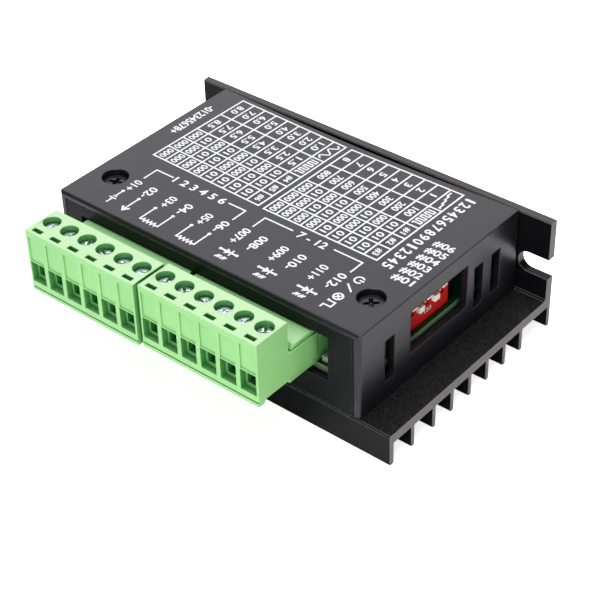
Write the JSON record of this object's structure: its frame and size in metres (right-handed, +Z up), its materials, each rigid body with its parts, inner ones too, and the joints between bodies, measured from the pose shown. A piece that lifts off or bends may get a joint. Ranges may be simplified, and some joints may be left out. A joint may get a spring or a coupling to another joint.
{
  "type": "stepper motor driver module",
  "caption": "Stepper motor driver: finned heat sink with slotted ears, moulded cover, pluggable screw terminals at the front and a slide switch at one end.",
  "frame": {"origin": "on the foot of the middle fin at mid-length, in the plane that the fins stand on", "axes": "+Z up from the fin feet, +X along the heat sink's length towards the end with the slide switch, +Y from the terminals to the upright back wall"},
  "size_m": [0.096, 0.0724, 0.0303],
  "materials": {
    "anodised_black": "satin black anodised, greyer on the sawn ends",
    "cover_plastic": "fine satin texture",
    "panel_plastic": "fine satin texture",
    "black_steel": "black oxide",
    "terminal_green": "moulded, slightly satin",
    "bright_steel": "zinc plated",
    "tinned_brass": "tinned",
    "switch_red": "moulded",
    "slider_cream": "moulded",
    "board_green": "solder mask over glass laminate",
    "chip_black": "moulded epoxy",
    "pad_grey": "soft silicone",
    "can_aluminium": "plain can",
    "led_clear": "clear epoxy"
  },
  "bodies": {
    "root": {"heat_sink": "anodised_black", "top_cover": "cover_plastic", "front_panel": "panel_plastic", "cover_screw_left": "black_steel", "cover_screw_right": "black_steel", "pcb": "board_green", "driver_chip": "chip_black", "thermal_pad": "pad_grey", "chip_screw_left": "black_steel", "chip_screw_right": "black_steel", "capacitor_1": "can_aluminium", "status_led": "led_clear", "dip_body": "switch_red", "header_left": "terminal_green", "header_right": "terminal_green", "header_pin_1": "tinned_brass", "header_pin_2": "tinned_brass", "header_pin_3": "tinned_brass", "header_pin_4": "tinned_brass", "header_pin_5": "tinned_brass", "header_pin_6": "tinned_brass", "header_pin_7": "tinned_brass", "header_pin_8": "tinned_brass", "header_pin_9": "tinned_brass", "header_pin_10": "tinned_brass", "header_pin_11": "tinned_brass", "header_pin_12": "tinned_brass"},
    "plug_left": {"plug_left": "terminal_green"},
    "plug_right": {"plug_right": "terminal_green"},
    "clamp_screw_1": {"clamp_screw_1": "bright_steel"},
    "wire_cage_1": {"wire_cage_1": "tinned_brass"},
    "clamp_screw_2": {"clamp_screw_2": "bright_steel"},
    "wire_cage_2": {"wire_cage_2": "tinned_brass"},
    "clamp_screw_3": {"clamp_screw_3": "bright_steel"},
    "wire_cage_3": {"wire_cage_3": "tinned_brass"},
    "clamp_screw_4": {"clamp_screw_4": "bright_steel"},
    "wire_cage_4": {"wire_cage_4": "tinned_brass"},
    "clamp_screw_5": {"clamp_screw_5": "bright_steel"},
    "wire_cage_5": {"wire_cage_5": "tinned_brass"},
    "clamp_screw_6": {"clamp_screw_6": "bright_steel"},
    "wire_cage_6": {"wire_cage_6": "tinned_brass"},
    "clamp_screw_7": {"clamp_screw_7": "bright_steel"},
    "wire_cage_7": {"wire_cage_7": "tinned_brass"},
    "clamp_screw_8": {"clamp_screw_8": "bright_steel"},
    "wire_cage_8": {"wire_cage_8": "tinned_brass"},
    "clamp_screw_9": {"clamp_screw_9": "bright_steel"},
    "wire_cage_9": {"wire_cage_9": "tinned_brass"},
    "clamp_screw_10": {"clamp_screw_10": "bright_steel"},
    "wire_cage_10": {"wire_cage_10": "tinned_brass"},
    "clamp_screw_11": {"clamp_screw_11": "bright_steel"},
    "wire_cage_11": {"wire_cage_11": "tinned_brass"},
    "clamp_screw_12": {"clamp_screw_12": "bright_steel"},
    "wire_cage_12": {"wire_cage_12": "tinned_brass"},
    "dip_slider_1": {"dip_slider_1": "slider_cream"},
    "dip_slider_2": {"dip_slider_2": "slider_cream"},
    "dip_slider_3": {"dip_slider_3": "slider_cream"},
    "dip_slider_4": {"dip_slider_4": "slider_cream"},
    "dip_slider_5": {"dip_slider_5": "slider_cream"},
    "dip_slider_6": {"dip_slider_6": "slider_cream"}
  },
  "joints": [
    {"name": "plug_left_pull", "type": "slide", "parent": "root", "child": "plug_left", "axis": [0, -1, 0], "range_m": [-0.0006, 0.012]},
    {"name": "plug_right_pull", "type": "slide", "parent": "root", "child": "plug_right", "axis": [0, -1, 0], "range_m": [0, 0.012]},
    {"name": "clamp_screw_1_turn", "type": "hinge", "parent": "plug_left", "child": "clamp_screw_1", "pos_m": [-0.0303, -0.03768, 0.02895], "axis": [0, 0, 1], "range_deg": [-1810, 0]},
    {"name": "wire_cage_1_lift", "type": "slide", "parent": "plug_left", "child": "wire_cage_1", "axis": [0, 0, 1], "range_m": [0, 0.0025]},
    {"name": "clamp_screw_2_turn", "type": "hinge", "parent": "plug_left", "child": "clamp_screw_2", "pos_m": [-0.02522, -0.03768, 0.02895], "axis": [0, 0, 1], "range_deg": [-1810, 0]},
    {"name": "wire_cage_2_lift", "type": "slide", "parent": "plug_left", "child": "wire_cage_2", "axis": [0, 0, 1], "range_m": [0, 0.0025]},
    {"name": "clamp_screw_3_turn", "type": "hinge", "parent": "plug_left", "child": "clamp_screw_3", "pos_m": [-0.02014, -0.03768, 0.02895], "axis": [0, 0, 1], "range_deg": [-1810, 0]},
    {"name": "wire_cage_3_lift", "type": "slide", "parent": "plug_left", "child": "wire_cage_3", "axis": [0, 0, 1], "range_m": [0, 0.0025]},
    {"name": "clamp_screw_4_turn", "type": "hinge", "parent": "plug_left", "child": "clamp_screw_4", "pos_m": [-0.01506, -0.03768, 0.02895], "axis": [0, 0, 1], "range_deg": [-1810, 0]},
    {"name": "wire_cage_4_lift", "type": "slide", "parent": "plug_left", "child": "wire_cage_4", "axis": [0, 0, 1], "range_m": [0, 0.0025]},
    {"name": "clamp_screw_5_turn", "type": "hinge", "parent": "plug_left", "child": "clamp_screw_5", "pos_m": [-0.00998, -0.03768, 0.02895], "axis": [0, 0, 1], "range_deg": [-1810, 0]},
    {"name": "wire_cage_5_lift", "type": "slide", "parent": "plug_left", "child": "wire_cage_5", "axis": [0, 0, 1], "range_m": [0, 0.0025]},
    {"name": "clamp_screw_6_turn", "type": "hinge", "parent": "plug_left", "child": "clamp_screw_6", "pos_m": [-0.0049, -0.03768, 0.02895], "axis": [0, 0, 1], "range_deg": [-1810, 0]},
    {"name": "wire_cage_6_lift", "type": "slide", "parent": "plug_left", "child": "wire_cage_6", "axis": [0, 0, 1], "range_m": [0, 0.0025]},
    {"name": "clamp_screw_7_turn", "type": "hinge", "parent": "plug_right", "child": "clamp_screw_7", "pos_m": [0.0008, -0.03703, 0.02895], "axis": [0, 0, 1], "range_deg": [-1810, 0]},
    {"name": "wire_cage_7_lift", "type": "slide", "parent": "plug_right", "child": "wire_cage_7", "axis": [0, 0, 1], "range_m": [0, 0.0025]},
    {"name": "clamp_screw_8_turn", "type": "hinge", "parent": "plug_right", "child": "clamp_screw_8", "pos_m": [0.00588, -0.03703, 0.02895], "axis": [0, 0, 1], "range_deg": [-1810, 0]},
    {"name": "wire_cage_8_lift", "type": "slide", "parent": "plug_right", "child": "wire_cage_8", "axis": [0, 0, 1], "range_m": [0, 0.0025]},
    {"name": "clamp_screw_9_turn", "type": "hinge", "parent": "plug_right", "child": "clamp_screw_9", "pos_m": [0.01096, -0.03703, 0.02895], "axis": [0, 0, 1], "range_deg": [-1810, 0]},
    {"name": "wire_cage_9_lift", "type": "slide", "parent": "plug_right", "child": "wire_cage_9", "axis": [0, 0, 1], "range_m": [0, 0.0025]},
    {"name": "clamp_screw_10_turn", "type": "hinge", "parent": "plug_right", "child": "clamp_screw_10", "pos_m": [0.01604, -0.03703, 0.02895], "axis": [0, 0, 1], "range_deg": [-1810, 0]},
    {"name": "wire_cage_10_lift", "type": "slide", "parent": "plug_right", "child": "wire_cage_10", "axis": [0, 0, 1], "range_m": [0, 0.0025]},
    {"name": "clamp_screw_11_turn", "type": "hinge", "parent": "plug_right", "child": "clamp_screw_11", "pos_m": [0.02112, -0.03703, 0.02895], "axis": [0, 0, 1], "range_deg": [-1810, 0]},
    {"name": "wire_cage_11_lift", "type": "slide", "parent": "plug_right", "child": "wire_cage_11", "axis": [0, 0, 1], "range_m": [0, 0.0025]},
    {"name": "clamp_screw_12_turn", "type": "hinge", "parent": "plug_right", "child": "clamp_screw_12", "pos_m": [0.0262, -0.03703, 0.02895], "axis": [0, 0, 1], "range_deg": [-1810, 0]},
    {"name": "wire_cage_12_lift", "type": "slide", "parent": "plug_right", "child": "wire_cage_12", "axis": [0, 0, 1], "range_m": [0, 0.0025]},
    {"name": "dip_slider_1_flip", "type": "slide", "parent": "root", "child": "dip_slider_1", "axis": [0, 0, 1], "range_m": [0, 0.002]},
    {"name": "dip_slider_2_flip", "type": "slide", "parent": "root", "child": "dip_slider_2", "axis": [0, 0, 1], "range_m": [-0.002, 0]},
    {"name": "dip_slider_3_flip", "type": "slide", "parent": "root", "child": "dip_slider_3", "axis": [0, 0, 1], "range_m": [0, 0.002]},
    {"name": "dip_slider_4_flip", "type": "slide", "parent": "root", "child": "dip_slider_4", "axis": [0, 0, 1], "range_m": [-0.002, 0]},
    {"name": "dip_slider_5_flip", "type": "slide", "parent": "root", "child": "dip_slider_5", "axis": [0, 0, 1], "range_m": [0, 0.002]},
    {"name": "dip_slider_6_flip", "type": "slide", "parent": "root", "child": "dip_slider_6", "axis": [0, 0, 1], "range_m": [-0.002, 0]}
  ],
  "couplings": [
    {"joint": "clamp_screw_1_turn", "follows": "wire_cage_1_lift", "rad_per_m": -12566},
    {"joint": "clamp_screw_2_turn", "follows": "wire_cage_2_lift", "rad_per_m": -12566},
    {"joint": "clamp_screw_3_turn", "follows": "wire_cage_3_lift", "rad_per_m": -12566},
    {"joint": "clamp_screw_4_turn", "follows": "wire_cage_4_lift", "rad_per_m": -12566},
    {"joint": "clamp_screw_5_turn", "follows": "wire_cage_5_lift", "rad_per_m": -12566},
    {"joint": "clamp_screw_6_turn", "follows": "wire_cage_6_lift", "rad_per_m": -12566},
    {"joint": "clamp_screw_7_turn", "follows": "wire_cage_7_lift", "rad_per_m": -12566},
    {"joint": "clamp_screw_8_turn", "follows": "wire_cage_8_lift", "rad_per_m": -12566},
    {"joint": "clamp_screw_9_turn", "follows": "wire_cage_9_lift", "rad_per_m": -12566},
    {"joint": "clamp_screw_10_turn", "follows": "wire_cage_10_lift", "rad_per_m": -12566},
    {"joint": "clamp_screw_11_turn", "follows": "wire_cage_11_lift", "rad_per_m": -12566},
    {"joint": "clamp_screw_12_turn", "follows": "wire_cage_12_lift", "rad_per_m": -12566}
  ]
}
